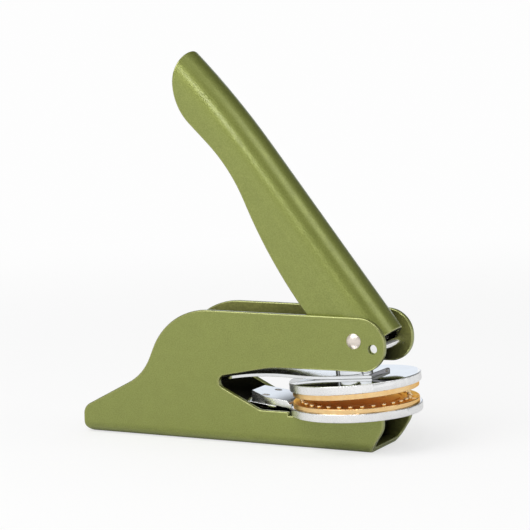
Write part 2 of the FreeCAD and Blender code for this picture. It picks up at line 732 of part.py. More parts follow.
def make_lower_die():
    """Lower brass die, with a ring of raised dots on its face."""
    top = "(lower_thickness + lower_die_thickness)"
    body = turned_body("lower_die", die_corners("lower_thickness", top, "top"), **LOWER_FRAME)
    dot = new_sketch(body, "lower_dot", "XY_Plane", f"{top} - dot_relief")
    add_circle(dot, "die_radius - dot_ring_inset", "0", "dot_radius")
    add_ring_pattern(body, add_pad(body, dot, "2 * dot_relief"), DOT_COUNT)


# ---------------------------------------------------------------- die clip, upper half
def make_upper_holder():
    """Upper disc, bored for the boss's spigot."""
    bottom = "-upper_thickness"
    body = turned_body("upper_holder", [
        ("spigot_radius + press_clearance", bottom), (HOLDER_RADIUS, bottom, "holder_edge"),
        (HOLDER_RADIUS, "0", "holder_edge"), ("spigot_radius + press_clearance", "0")],
        **UPPER_FRAME)
    return body


def make_upper_die():
    """Upper brass die, with a ring of pits that the lower die's dots enter."""
    high = "-upper_thickness"
    low = "(-upper_thickness - upper_die_thickness)"
    body = turned_body("upper_die", die_corners(low, high, "bottom"), **UPPER_FRAME)
    dot = new_sketch(body, "upper_dot", "XY_Plane", f"{low} + dot_depth")
    add_circle(dot, "die_radius - dot_ring_inset", "0", "dot_radius + dot_clearance")
    add_ring_pattern(body, add_pocket(body, dot, "2 * dot_depth", False, False), DOT_COUNT)


def make_press_boss():
    """Round boss that the cam bears on, riveted by its spigot through strip and holder."""
    top = "(strip_thickness + boss_height)"
    turned_body("press_boss", [
        ("0", "spigot_recess - upper_thickness"),
        ("spigot_radius", "spigot_recess - upper_thickness"),
        ("spigot_radius", "strip_thickness"), ("boss_radius", "strip_thickness"),
        ("boss_radius", f"{top} - boss_chamfer"), ("boss_radius - boss_chamfer", top),
        ("0", top)], **UPPER_FRAME)


def lower_leg(reach):
    """Middle of the strip's lower leg, as it lies on the tail this far behind the axis."""
    height = f"({tail_underside(reach)} - strip_thickness / 2 / cos(tail_angle))"
    return lower_in_upper(f"-({reach})", height)


def lug_point(along, across):
    """Place on the side of the strip's lug, from the top of the strip's front edge."""
    return (f"(strip_front + ({along}) * cos(lug_angle) - ({across}) * sin(lug_angle))",
            f"(strip_thickness + ({along}) * sin(lug_angle) + ({across}) * cos(lug_angle))")


def make_clip_spring():
    """Spring strip: flat on the upper holder, back to a hairpin, and under the tail."""
    body = new_body("clip_spring", **UPPER_FRAME)
    middle = "(strip_thickness / 2)"
    section = new_sketch(body, "strip_section", "YZ_Plane")
    half = "(strip_width / 2)"
    add_box_outline(section, f"-{half}", half, "0", "strip_thickness")

    # The legs meet the hairpin where its two sides lie, one above and one below its centre.
    hinge = world_in_upper("-hairpin_x", "hairpin_z")
    crest = ("-strip_crest", f"(strip_crest_height + {middle})")
    upper_side = (hinge[0], f"({hinge[1]} + hairpin_radius * 1.02)")
    corner_leg = lower_leg(f"{TAIL_REACH} + strip_thickness / 2")
    lower_side = (hinge[0], f"({hinge[1]} - hairpin_radius)")
    upper_slope = f"(({crest[1]} - {upper_side[1]}) / ({crest[0]} - {upper_side[0]}))"
    lower_slope = f"(({corner_leg[1]} - {lower_side[1]}) / ({corner_leg[0]} - {lower_side[0]}))"
    apex_x = (f"({hinge[0]} - ({upper_side[1]} - {lower_side[1]})"
              f" / ({upper_slope} - {lower_slope}))")
    apex_z = f"({upper_side[1]} + {upper_slope} * ({apex_x} - {hinge[0]}))"
    rear_path = new_sketch(body, "strip_rear_path", "XZ_Plane")
    add_outline(rear_path, [
        ("0", middle), ("-strip_leave", middle, "strip_bow_radius"),
        (crest[0], crest[1], "strip_bow_radius"), (apex_x, apex_z, "hairpin_radius"),
        (corner_leg[0], corner_leg[1], "5 * strip_thickness"),
        lower_leg(f"{TAIL_REACH} - strip_overlap")],
        closed=False)
    add_pipe(body, "strip_rear", section, rear_path)

    front_section = new_sketch(body, "strip_front_section", "YZ_Plane")
    add_box_outline(front_section, f"-{half}", half, "0", "strip_thickness")
    add_pad(body, front_section, "strip_front")
    lug = new_sketch(body, "lug_side", "XZ_Plane", "lug_offset")
    rear = "(strip_front - lug_height)"
    add_outline(lug, [
        (rear, middle), ("strip_front", middle),
        (*lug_point("lug_length", "-lug_height / 2"), "0.45 * lug_height"),
        (*lug_point("lug_length", "lug_height / 2"), "0.45 * lug_height"),
        (rear, "strip_thickness")])
    add_pad(body, lug, "strip_thickness", symmetric=True)
    eye = new_sketch(body, "lug_eye", "XZ_Plane", "lug_offset")
    add_circle(eye, *lug_point("lug_length - lug_height / 2", "0"), "lug_hole_radius")
    add_pocket(body, eye, "2 * strip_thickness", symmetric=True)
    bore = new_sketch(body, "strip_bore", "XY_Plane")
    add_circle(bore, "0", "0", "spigot_radius + press_clearance")
    add_pocket(body, bore, "4 * strip_thickness")
    rivet = lower_in_upper(f"-{CLIP_RIVET}", tail_underside(CLIP_RIVET))
    add_tilted_hole(body, rivet[0], rivet[1], f"(tail_angle + {CLOSING})", "clip_rivet_y",
                    "clip_rivet_radius + press_clearance", "(4 * strip_thickness)")


def make_clip_rivets():
    """Two rivets that hold the strip under the tail, with their heads below."""
    at = lower_in_world(f"-{CLIP_RIVET}", tail_underside(CLIP_RIVET))
    body = new_body("clip_rivets", at, "tail_angle - seat_tilt")
    body.AllowCompound = True
    sketch = new_sketch(body, "clip_rivet_half", "YZ_Plane")
    below = "(-strip_thickness)"
    inner, outer = "clip_rivet_y", "clip_rivet_y + clip_rivet_radius"
    sides = add_outline(sketch, [
        (inner, f"{below} - clip_head_height"), (inner, "tail_thickness"),
        (outer, "tail_thickness"), (outer, below),
        ("clip_rivet_y + clip_head_radius", below),
        ("clip_rivet_y + clip_head_radius", f"{below} - clip_head_height",
         "0.6 * clip_head_height")])
    add_center_line(sketch, sides[0])
    add_mirror(body, [add_turning(body, sketch)])


# ---------------------------------------------------------------- catch spring
def make_catch_spring():
    """Leaf on the floor whose crest lies just under the strip and keeps the clip in place."""
    crest_world = lower_in_world(f"-{CATCH_CREST}", f"({tail_underside(CATCH_CREST)}"
                                 " - strip_thickness / cos(tail_angle))")
    crest_z = f"({crest_world[1]} - slide_clearance - catch_thickness / 2)"
    body = new_body("catch_spring")
    middle = "(sheet + catch_thickness / 2)"
    section = new_sketch(body, "catch_section", "YZ_Plane", f"-{CATCH_REAR}")
    add_box_outline(section, "-catch_width / 2", "catch_width / 2", "sheet",
                    "sheet + catch_thickness")
    path = new_sketch(body, "catch_path", "XZ_Plane")
    add_outline(path, [
        (f"-{CATCH_REAR}", middle),
        (f"-{CATCH_CREST} - catch_rise_length", middle, "2 * catch_bend_radius"),
        (crest_world[0], crest_z, "catch_bend_radius"),
        (f"{crest_world[0]} + catch_nose_length", f"{crest_z} - catch_drop")], closed=False)
    add_pipe(body, "catch_leaf", section, path)
    hole = new_sketch(body, "catch_hole", "XY_Plane")
    add_circle(hole, f"-{CATCH_RIVET}", "0", "catch_rivet_radius + press_clearance")
    add_pocket(body, hole, "3 * sheet")


def make_catch_rivet():
    """Rivet that holds the catch spring on the floor."""
    seat = "(sheet + catch_thickness)"
    turned_body("catch_rivet", [
        ("0", "catch_rivet_recess"), ("catch_rivet_radius", "catch_rivet_recess"),
        ("catch_rivet_radius", seat), ("catch_head_radius", seat),
        ("catch_head_radius", f"{seat} + catch_head_height", "0.6 * catch_head_height"),
        ("0", f"{seat} + catch_head_height")], at=(f"-{CATCH_RIVET}", "0"))


# ---------------------------------------------------------------- building, checking, writing
def check_document():
    """Stop if anything in the document failed to build."""
    for item in doc.Objects:
        failed = {"Invalid", "Error"} & set(item.State)
        if failed:
            raise RuntimeError(f"{item.Name} is {', '.join(sorted(failed))}")


def main():
    for make in (make_frame_channel, make_pivot_rivet, make_stop_pin, make_catch_spring,
                 make_catch_rivet, make_lever_channel, make_lever_washers, make_press_cam,
                 make_cam_rivet, make_lower_holder, make_lower_die, make_clip_rivets,
                 make_clip_spring, make_press_boss, make_upper_holder, make_upper_die):
        make()
        doc.recompute()
        check_document()
    os.makedirs("parts", exist_ok=True)
    bodies = [item for item in doc.Objects if item.TypeId == "PartDesign::Body"]
    for body in bodies:
        shape = body.Shape
        if shape.isNull() or not shape.isValid():
            raise RuntimeError(f"{body.Label} has no valid shape")
    for body in bodies:
        body.Shape.exportStep(f"parts/{body.Label}.step")
        box = body.Shape.BoundBox
        print(f"{body.Label:16s} {len(body.Shape.Solids)} solid(s) {body.Shape.Volume:9.1f} mm3 "
              f"x {box.XMin:7.2f} {box.XMax:7.2f}  y {box.YMin:7.2f} {box.YMax:7.2f}  "
              f"z {box.ZMin:7.2f} {box.ZMax:7.2f}")


main()
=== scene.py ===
# %% [markdown]
# # A seal embosser, dressed for its portrait
#
# A desk embosser presses a seal into paper between two round brass dies. This lesson
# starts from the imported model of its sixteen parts, which is in metres with +Z up. It gives
# the folded sheets and the turned discs the rounded edges that real metal has, and finishes
# each part as its maker does: paint, chrome, brass, nickel or oiled steel.

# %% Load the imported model
import json
import math

import bmesh
import bpy
from mathutils import Matrix, Vector


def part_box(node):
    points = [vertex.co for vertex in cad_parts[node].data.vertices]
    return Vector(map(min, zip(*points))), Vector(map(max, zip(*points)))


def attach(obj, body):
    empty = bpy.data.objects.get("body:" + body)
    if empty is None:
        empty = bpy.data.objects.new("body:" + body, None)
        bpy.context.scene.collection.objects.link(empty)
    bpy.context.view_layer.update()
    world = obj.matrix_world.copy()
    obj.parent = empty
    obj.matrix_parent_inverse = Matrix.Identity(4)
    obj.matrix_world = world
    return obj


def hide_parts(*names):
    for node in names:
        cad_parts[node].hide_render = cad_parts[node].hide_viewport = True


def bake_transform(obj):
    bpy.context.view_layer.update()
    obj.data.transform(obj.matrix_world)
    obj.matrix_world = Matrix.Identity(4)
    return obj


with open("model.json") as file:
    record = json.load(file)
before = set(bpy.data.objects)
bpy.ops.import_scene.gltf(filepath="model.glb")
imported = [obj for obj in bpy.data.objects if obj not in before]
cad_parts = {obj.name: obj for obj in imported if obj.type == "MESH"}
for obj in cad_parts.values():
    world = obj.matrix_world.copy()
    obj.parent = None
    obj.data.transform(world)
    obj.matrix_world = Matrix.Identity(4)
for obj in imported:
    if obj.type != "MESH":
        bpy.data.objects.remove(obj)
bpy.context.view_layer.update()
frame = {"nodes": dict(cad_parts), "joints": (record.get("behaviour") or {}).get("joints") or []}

# %% [markdown]
# ## The camera
#
# The embosser is seen from a little to the right of its open side and from just above the
# desk. A camera could be turned by three Euler angles, but it is easier to say which way it
# looks back from its target, and to build its right, up and backward axes from that. The
# lens is long and far away, because that keeps the two cheeks nearly parallel.

# %% Camera
LOOK_AZIMUTH, LOOK_HEIGHT, LOOK_ROLL = [math.radians(d) for d in (26.97, 7.33, -1.416)]
LOOK_AT = Vector((-0.032406, 0.0, 0.058143))
LOOK_DISTANCE = 0.7
LENS_MM = 144.03


def look_axes(azimuth, height, roll):
    """Right, up and backward directions of a camera at that bearing."""
    back = Vector((math.sin(azimuth) * math.cos(height),
                   -math.cos(azimuth) * math.cos(height), math.sin(height)))
    right = Vector((math.cos(azimuth), math.sin(azimuth), 0.0))
    up = back.cross(right)
    return (math.cos(roll) * right + math.sin(roll) * up,
            math.cos(roll) * up - math.sin(roll) * right, back)


right, up, back = look_axes(LOOK_AZIMUTH, LOOK_HEIGHT, LOOK_ROLL)
lens = bpy.data.cameras.new("portrait_lens")
lens.lens, lens.sensor_width, lens.clip_start, lens.clip_end = LENS_MM, 36.0, 0.05, 20.0
camera = bpy.data.objects.new("portrait_camera", lens)
camera.matrix_world = Matrix.Translation(LOOK_AT + LOOK_DISTANCE * back) @ \
    Matrix((right, up, back)).transposed().to_4x4()
bpy.context.scene.collection.objects.link(camera)
bpy.context.scene.camera = camera
print("camera at", [round(v, 4) for v in camera.matrix_world.translation])

# %% [markdown]
# ## The room
#
# Metal is mostly a picture of its room. A picture of a real room could be wrapped round the
# world, but a drawn one can be tuned and weighs nothing. It is white behind the camera and
# straight ahead of it, with a dark card on either side of the background, which gives bright
# metal and paint the thin dark outline that keeps them apart from the white.
#
# The room is a ramp of colours by bearing, multiplied by another ramp by height. Both ramps
# read a value between 0 and 1, so a helper stretches any range to that.


# %% Values and ramps
def axis_of(tree, place, axis):
    """One coordinate of a place."""
    split = tree.nodes.new("ShaderNodeSeparateXYZ")
    tree.links.new(place, split.inputs[0])
    return split.outputs[axis]


def spread(tree, value, low, high, start=0.3, end=0.7):
    """Stretch the range of a value, or a grain's middle range, to run from low to high."""
    ranged = tree.nodes.new("ShaderNodeMapRange")
    ranged.inputs["From Min"].default_value, ranged.inputs["From Max"].default_value = start, end
    ranged.inputs["To Min"].default_value, ranged.inputs["To Max"].default_value = low, high
    tree.links.new(value, ranged.inputs["Value"])
    return ranged.outputs[0]


def colour_ramp(tree, value, stops):
    """Colours at places from 0 to 1, read off by a value."""
    ramp = tree.nodes.new("ShaderNodeValToRGB")
    elements = ramp.color_ramp.elements
    while len(elements) < len(stops):
        elements.new(0.5)
    for element, (place, colour) in zip(elements, stops):
        element.position, element.color = place, (*colour, 1.0)
    tree.links.new(value, ramp.inputs[0])
    return ramp.outputs[0]


bpy.context.scene.view_settings.view_transform = "Standard"
AHEAD = Vector((-math.sin(LOOK_AZIMUTH), math.cos(LOOK_AZIMUTH), 0.0))
BACKGROUND = (0.985, 0.985, 0.985, 1.0)
ROOM_LIGHT = 0.50
CARDS_AROUND = [(0.00, (1.00, 1.00, 1.00)), (0.60, (0.85, 0.86, 0.87)),
                (0.82, (0.14, 0.14, 0.13)), (0.950, (0.10, 0.10, 0.09)),
                (0.972, (0.86, 0.91, 0.98))]
CEILING = [(0.28, (1.0, 1.0, 1.0)), (0.50, (0.10, 0.10, 0.09)), (0.82, (0.09, 0.09, 0.08)),
           (0.94, (0.85, 0.85, 0.85))]
print("room colours by bearing and by height:", len(CARDS_AROUND), len(CEILING))


# %% Colours that metal sees
def join_two(tree, kind, operation, first, second):
    """Result of a two-socket operation of a Math or Vector Math node."""
    node = tree.nodes.new(kind)
    node.operation = operation
    tree.links.new(first, node.inputs[0])
    tree.links.new(second, node.inputs[1])
    return node.outputs[0]


def drawn_room(tree):
    """Colours of the room that metal reflects, by bearing and by height."""
    place = tree.nodes.new("ShaderNodeTexCoord").outputs["Generated"]
    ahead = tree.nodes.new("ShaderNodeVectorMath")
    ahead.operation = "DOT_PRODUCT"
    ahead.inputs[1].default_value = AHEAD
    tree.links.new(place, ahead.inputs[0])
    around = spread(tree, ahead.outputs["Value"], 0.0, 1.0, -1.0, 1.0)
    return join_two(tree, "ShaderNodeVectorMath", "MULTIPLY",
                    colour_ramp(tree, around, CARDS_AROUND),
                    colour_ramp(tree, axis_of(tree, place, "Z"), CEILING))


print("straight ahead is", [round(v, 3) for v in AHEAD])

# %% [markdown]
# Light Path tells the rays apart. The eye sees plain white, metal sees the drawn room, and
# the light that falls on the paint is even, so that its colour renders as it is written.


# %% World
def background(tree, colour, strength=1.0):
    """Light of the world with a plain colour, or with the colour of a socket."""
    light = tree.nodes.new("ShaderNodeBackground")
    light.inputs["Strength"].default_value = strength
    if isinstance(colour, tuple):
        light.inputs["Color"].default_value = colour
    else:
        tree.links.new(colour, light.inputs["Color"])
    return light.outputs[0]


def mix_shaders(tree, amount, first, second):
    """Shader between two shaders, by an amount from 0 to 1."""
    mix = tree.nodes.new("ShaderNodeMixShader")
    for socket, value in zip(mix.inputs, (amount, first, second)):
        tree.links.new(value, socket)
    return mix.outputs[0]


def white_room():
    """World that the camera sees white, that metal sees as a room, and that lights plainly."""
    world = bpy.data.worlds.new("white_room")
    bpy.context.scene.world = world
    world.use_nodes = True
    tree = world.node_tree
    tree.nodes.clear()
    seen = tree.nodes.new("ShaderNodeLightPath").outputs
    lit = background(tree, (1.0, 1.0, 1.0, 1.0), ROOM_LIGHT)
    metal = mix_shaders(tree, seen["Is Glossy Ray"], lit, background(tree, drawn_room(tree)))
    eye = mix_shaders(tree, seen["Is Camera Ray"], metal, background(tree, BACKGROUND))
    tree.links.new(eye, tree.nodes.new("ShaderNodeOutputWorld").inputs[0])


white_room()
print("world:", bpy.context.scene.world.name)

# %% [markdown]
# ## The desk
#
# The desk is white to the eye and to metal, and greyer to the light that it throws back, so
# that the folded bottom of the frame stays dark. One plain white floor would be simpler, but
# it lights the frame from below. Far from the embosser the desk fades into the same white as
# the background, and close to it it takes the shadow.

# %% Shares of the desk
DESK_BOUNCE, DESK_MIRRORED, DESK_TAKES, DESK_SHOWS = 0.42, 0.82, 0.34, 0.64


def sum_of(tree, *terms):
    """Sum of terms: each a plain number, or a socket with the number that multiplies it."""
    total = None
    for term in terms:
        node = tree.nodes.new("ShaderNodeMath")
        node.operation = "MULTIPLY_ADD"
        for socket in node.inputs:
            socket.default_value = 0.0
        if isinstance(term, float):
            node.inputs[2].default_value = term
        else:
            tree.links.new(term[0], node.inputs[0])
            node.inputs[1].default_value = term[1]
            if total:
                tree.links.new(total, node.inputs[2])
        total = node.outputs[0]
    return total


print("desk gives back, mirrored, seen and shown:", DESK_BOUNCE, DESK_MIRRORED, DESK_TAKES,
      DESK_SHOWS)

# %% Finish of the desk
FADE_START, FADE_END = 0.16, 0.60


def length_of(tree, vector):
    """Length of a vector."""
    node = tree.nodes.new("ShaderNodeVectorMath")
    node.operation = "LENGTH"
    tree.links.new(vector, node.inputs[0])
    return node.outputs["Value"]


def desk_finish():
    """Grey to light, white to the eye and to metal, and all background far away."""
    finish = bpy.data.materials.new("desk_white")
    finish.use_nodes = True
    tree = finish.node_tree
    nodes, links = tree.nodes, tree.links
    nodes.remove(nodes["Principled BSDF"])
    seen = nodes.new("ShaderNodeLightPath").outputs
    eye, metal = seen["Is Camera Ray"], seen["Is Glossy Ray"]
    matt, glow, near, far = [nodes.new("ShaderNode" + kind) for kind in
                             ("BsdfDiffuse", "Emission", "AddShader", "Emission")]
    links.new(sum_of(tree, DESK_BOUNCE, (eye, DESK_TAKES - DESK_BOUNCE),
                     (metal, DESK_MIRRORED - DESK_BOUNCE)), matt.inputs["Color"])
    links.new(sum_of(tree, (eye, DESK_SHOWS)), glow.inputs["Strength"])
    links.new(matt.outputs[0], near.inputs[0])
    links.new(glow.outputs[0], near.inputs[1])
    far.inputs["Color"].default_value = BACKGROUND
    away = nodes.new("ShaderNodeMapRange")
    away.interpolation_type = "SMOOTHSTEP"
    away.inputs["From Min"].default_value = FADE_START
    away.inputs["From Max"].default_value = FADE_END
    links.new(length_of(tree, nodes.new("ShaderNodeTexCoord").outputs["Object"]),
              away.inputs["Value"])
    links.new(sum_of(tree, (eye, 1.0), (metal, 1.0)), away.inputs["To Max"])
    links.new(mix_shaders(tree, away.outputs[0], near.outputs[0], far.outputs[0]),
              nodes["Material Output"].inputs["Surface"])
    return finish


print("desk fades between", FADE_START, "and", FADE_END, "metres")

# %% Desk
DESK_SIZE = 6.0


def white_desk():
    """Floor that looks white, and that runs into the background's white far away."""
    bm = bmesh.new()
    bmesh.ops.create_grid(bm, x_segments=1, y_segments=1, size=DESK_SIZE)
    mesh = bpy.data.meshes.new("desk")
    bm.to_mesh(mesh)
    bm.free()
    mesh.materials.append(desk_finish())
    desk = bpy.data.objects.new("desk", mesh)
    bpy.context.scene.collection.objects.link(desk)


white_desk()
print("desk reaches", DESK_SIZE, "metres each way")

# %% [markdown]
# ## The lamps
#
# One large soft lamp hangs high on the left, a small one stands low in front and draws the
# bright line along the shoulder of the lever, and one behind on the right lights the far
# side of its half-round back. Area lamps are used because their size is the softness of
# their shadow and the width of their reflection.


# %% Lamps
def soft_lamp(name, place, size, power):
    """Square soft box at a place, turned to face the embosser."""
    lamp = bpy.data.lights.new(name, "AREA")
    lamp.shape, lamp.size, lamp.energy = "SQUARE", size, power
    holder = bpy.data.objects.new(name, lamp)
    towards = LOOK_AT - Vector(place)
    holder.matrix_world = Matrix.Translation(place) @ \
        towards.to_track_quat("-Z", "Y").to_matrix().to_4x4()
    bpy.context.scene.collection.objects.link(holder)


soft_lamp("key_lamp", (-0.40, -0.60, 0.95), 0.80, 6.5)
soft_lamp("shoulder_lamp", (0.31, -0.78, 0.84), 0.22, 1.40)
soft_lamp("back_lamp", (0.68, 0.14, 0.84), 0.44, 1.15)

# %% [markdown]
# ## Grain with a real size
#
# Every finish on the embosser has a grain: the fleck of paint, the hair lines of polish, the
# rings of a lathe. An image could carry it, but it would need an unwrapped surface and would
# blur up close. Noise on Object coordinates needs neither, and its scale is in features per
# metre, so a fleck has the same size on the frame as on the lever.


# %% Grain helpers
def start_finish(name, metallic, roughness):
    """New material with its shader's even numbers set, and its Object coordinates."""
    finish = bpy.data.materials.new(name)
    finish.use_nodes = True
    tree = finish.node_tree
    shader = tree.nodes["Principled BSDF"]
    shader.inputs["Metallic"].default_value = metallic
    shader.inputs["Roughness"].default_value = roughness
    place = tree.nodes.new("ShaderNodeTexCoord").outputs["Object"]
    return finish, tree, shader, place


def grain(tree, place, per_metre, stretch=(1.0, 1.0, 1.0), detail=2.0):
    """Noise of a real size: about one feature in 1 / per_metre metres."""
    turned = tree.nodes.new("ShaderNodeMapping")
    turned.inputs["Scale"].default_value = [per_metre * s for s in stretch]
    noise = tree.nodes.new("ShaderNodeTexNoise")
    noise.inputs["Scale"].default_value = 1.0
    noise.inputs["Detail"].default_value = detail
    tree.links.new(place, turned.inputs["Vector"])
    tree.links.new(turned.outputs[0], noise.inputs["Vector"])
    return noise.outputs["Fac"]


print("one feature of 2600 per metre is", round(1000 / 2600, 2), "mm wide")

# %% [markdown]
# A grain reaches the eye in three ways: it mixes two colours, it changes the roughness, and
# it lifts the surface. Mixing and lifting get a helper each.


# %% Colour and relief
def between(tree, amount, first, second):
    """Colour between two colours, or sockets, by an amount from 0 to 1."""
    mix = tree.nodes.new("ShaderNodeMix")
    mix.data_type = "RGBA"
    if isinstance(amount, float):
        mix.inputs["Factor"].default_value = amount
    else:
        tree.links.new(amount, mix.inputs["Factor"])
    for slot, colour in (("A", first), ("B", second)):
        socket = [i for i in mix.inputs if i.name == slot and i.type == "RGBA"][0]
        if isinstance(colour, tuple):
            socket.default_value = (*colour, 1.0)
        else:
            tree.links.new(colour, socket)
    return [o for o in mix.outputs if o.type == "RGBA"][0]


def faded(colour, share):
    """The same colour, darker by a share."""
    return tuple(share * c for c in colour)


def add_relief(tree, shader, height, depth):
    """Bump of a real depth in metres from a height between 0 and 1."""
    bump = tree.nodes.new("ShaderNodeBump")
    bump.inputs["Strength"].default_value = 1.0
    bump.inputs["Distance"].default_value = depth
    tree.links.new(height, bump.inputs["Height"])
    tree.links.new(bump.outputs[0], shader.inputs["Normal"])


print("a body colour of 0.40 fades to", [round(c, 3) for c in faded((0.40,), 0.93)])

# %% [markdown]
# ## Softened edges
#
# No sheet or turned part has a knife edge: the cut is tumbled, the lathe tool has a nose,
# and paint draws back from corners. A Bevel modifier could round them, but it can't be told
# which edges are cut and which are folded. So the bevel operator is used on chosen edges.
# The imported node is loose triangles, so a copy of it is merged and its flat faces are joined
# up first. Only outer edges are rounded, which takes metal away and keeps the part's size.

# %% Helpers for softened copies
MERGE_WITHIN = 2e-7
FLAT_WITHIN = math.radians(0.08)
SHARP_SHADING = math.radians(50)


def merged_copy(node):
    """A node's mesh as one skin, with the triangles of each flat face joined."""
    bm = bmesh.new()
    bm.from_mesh(frame["nodes"][node].data)
    bmesh.ops.remove_doubles(bm, verts=bm.verts, dist=MERGE_WITHIN)
    bmesh.ops.dissolve_limit(bm, angle_limit=FLAT_WITHIN, verts=bm.verts, edges=bm.edges)
    for face in bm.faces:
        face.material_index = 0
    return bm


def soften(bm, width, steps, sharp=28.0, wanted=None):
    """Round the outer edges that turn by more than the sharp angle; return the new faces.

    Where only some are wanted, a test of the edge's middle tells which. The width isn't
    clamped, because the short edges along a curve turn too little to cross.
    """
    edges = [e for e in bm.edges
             if len(e.link_faces) == 2 and e.calc_face_angle_signed() > math.radians(sharp)
             and (wanted is None or wanted((e.verts[0].co + e.verts[1].co) / 2))]
    made = bmesh.ops.bevel(bm, geom=edges, offset=width, offset_type="OFFSET", segments=steps,
                           profile=0.5, affect="EDGES", clamp_overlap=False, material=-1)
    return made["faces"]


print("edges turning by more than", round(math.degrees(SHARP_SHADING)), "degrees stay sharp")

# %% [markdown]
# A rounded edge is a strip of faces a few tenths of a millimetre wide beside a large flat
# one. Plain smooth shading would bend the light over the whole flat face. The Weighted Normal
# modifier lets the large faces decide, so that only the rounded strip turns.


# %% Helpers for finished pieces
def put(bm, name, finishes):
    """Evenly shaded object with a bmesh's shape, smooth up to its sharp corners."""
    mesh = bpy.data.meshes.new(name)
    for face in bm.faces:
        face.smooth = True
    for edge in bm.edges:
        edge.smooth = edge.calc_face_angle(0.0) < SHARP_SHADING
    bm.to_mesh(mesh)
    bm.free()
    for finish in finishes:
        mesh.materials.append(finish)
    piece = bpy.data.objects.new(name, mesh)
    bpy.context.scene.collection.objects.link(piece)
    weighted = piece.modifiers.new("even_shading", "WEIGHTED_NORMAL")
    weighted.weight = 100
    weighted.mode = "FACE_AREA_WITH_ANGLE"
    weighted.keep_sharp = True
    return piece


def dress(piece, body, slot, *nodes):
    """Ride a finished piece on its body and hide the nodes that it stands for. The slot is not
    used.
    """
    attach(piece, body)
    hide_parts(*nodes)
    print(piece.name, "faces:", len(piece.data.polygons))


def count_finishes(bm):
    """How many faces have each of the three finishes of a piece."""
    return [sum(f.material_index == i for f in bm.faces) for i in range(3)]


print("pieces are made from", len(frame["nodes"]), "nodes")

# %% [markdown]
# ## Olive paint
#
# The sheets are sprayed with a satin olive that has a fine metal fleck under a thin clear
# coat. A car-paint look could be built from two mixed shaders, but one shader that is partly
# metallic, with its own coat, exports as it is. The fleck and the slow mottle are noise, and
# the skin of sprayed paint is a bump of a few thousandths of a millimetre. Where the sheet
# was cut the paint is thinner, paler and glossier; its paleness is partly a painted highlight
# for the bright line that a lit edge shows.


# %% Olive paint
def olive_paint(name, body, fleck, pit, roughness):
    """Satin olive with a fine fleck, a slow mottle and the skin of sprayed paint."""
    finish, tree, shader, place = start_finish(name, 0.66, roughness)
    shader.inputs["Specular IOR Level"].default_value = 0.4
    shader.inputs["Coat Weight"].default_value = 0.80
    shader.inputs["Coat Roughness"].default_value = 0.25
    mottle = spread(tree, grain(tree, place, 260.0, detail=3.0), 0.0, 1.0)
    dots = spread(tree, grain(tree, place, 2600.0, detail=1.0), 0.0, 1.0, 0.35, 0.68)
    cloud = between(tree, mottle, body, faded(body, 0.93))
    flecked = between(tree, dots, pit, fleck)
    tree.links.new(between(tree, 0.40, cloud, flecked), shader.inputs["Base Color"])
    tree.links.new(spread(tree, mottle, roughness - 0.04, roughness + 0.04, 0.0, 1.0),
                   shader.inputs["Roughness"])
    add_relief(tree, shader, grain(tree, place, 1500.0, detail=2.0), 0.000004)
    return finish


PAINT = olive_paint("olive_paint", (0.298, 0.338, 0.072), (0.390, 0.426, 0.112),
                    (0.218, 0.254, 0.046), 0.40)
# The paler, glossier paint of the cut edges: thinner paint, and partly a painted highlight.
PAINT_THIN_EDGE_HIGHLIGHT = olive_paint("olive_paint_thin_highlight", (0.400, 0.425, 0.140), (0.500, 0.515, 0.200),
                         (0.290, 0.315, 0.090), 0.24)
print("paints:", PAINT.name, PAINT_THIN_EDGE_HIGHLIGHT.name)

# %% [markdown]
# ## Painted shade inside the folds
#
# Little light reaches inside a fold, so the metal there looks nearly black and turns olive
# towards the open ends. Shaping that with lamps would move with the lamps, so the shade is
# painted into the colour here: the paint gets darker with the depth of the fold, which
# follows the object's own X, and behind the arms also its Z.

# %% Painted shade inside the folds
FOLD_REAR, FOLD_FRONT = -0.100, 0.020
ARMS_REAR, ARMS_FRONT = -0.010, 0.000


def fold_shade_paint(name, dark, dim, openness, rise):
    """Painted shade for the inside of a fold: dark where it is deep, lighter where it is open.

    Openness lists how open the fold is along X, from 0 at the rear to 1 at the front, and
    behind the arms the fold also opens with height, over the rise.
    """
    finish, tree, shader, place = start_finish(name, 0.0, 0.5)
    shader.inputs["Specular IOR Level"].default_value = 0.2
    x, z = axis_of(tree, place, "X"), axis_of(tree, place, "Z")
    up = spread(tree, z, 0.0, 1.0, *rise)
    behind = spread(tree, x, 1.0, 0.0, ARMS_REAR, ARMS_FRONT)
    along = spread(tree, x, 0.0, 1.0, FOLD_REAR, FOLD_FRONT)
    ends = colour_ramp(tree, along, [(stop, (share,) * 3) for stop, share in openness])
    open_top = join_two(tree, "ShaderNodeMath", "MINIMUM", up, behind)
    open_fold = join_two(tree, "ShaderNodeMath", "MAXIMUM", open_top, ends)
    # Painted shade: the fold's shade and a darker copy of it, mixed by the fleck.
    shade, thin = [between(tree, open_fold, faded(dark, share), faded(dim, share))
                   for share in (1.0, 0.7)]
    dots = spread(tree, grain(tree, place, 1400.0, detail=2.0), 0.0, 1.0)
    tree.links.new(between(tree, dots, shade, thin), shader.inputs["Base Color"])
    add_relief(tree, shader, dots, 0.00003)
    return finish


# The dark and the dim olive are painted shade for the folds of the frame and the lever.
PAINT_FOLD_SHADE = fold_shade_paint("olive_paint_fold_shade", (0.010, 0.010, 0.003), (0.340, 0.350, 0.100),
                            [(0.17, 1.0), (0.34, 0.0), (0.88, 0.0), (0.97, 1.0)],
                            (0.034, 0.044))
LEVER_FOLD_SHADE = fold_shade_paint("lever_paint_fold_shade", (0.010, 0.011, 0.003), (0.180, 0.190, 0.055),
                            [(0.68, 1.0), (0.82, 0.0)], (0.120, 0.200))
print("inside paints:", PAINT_FOLD_SHADE.name, LEVER_FOLD_SHADE.name)
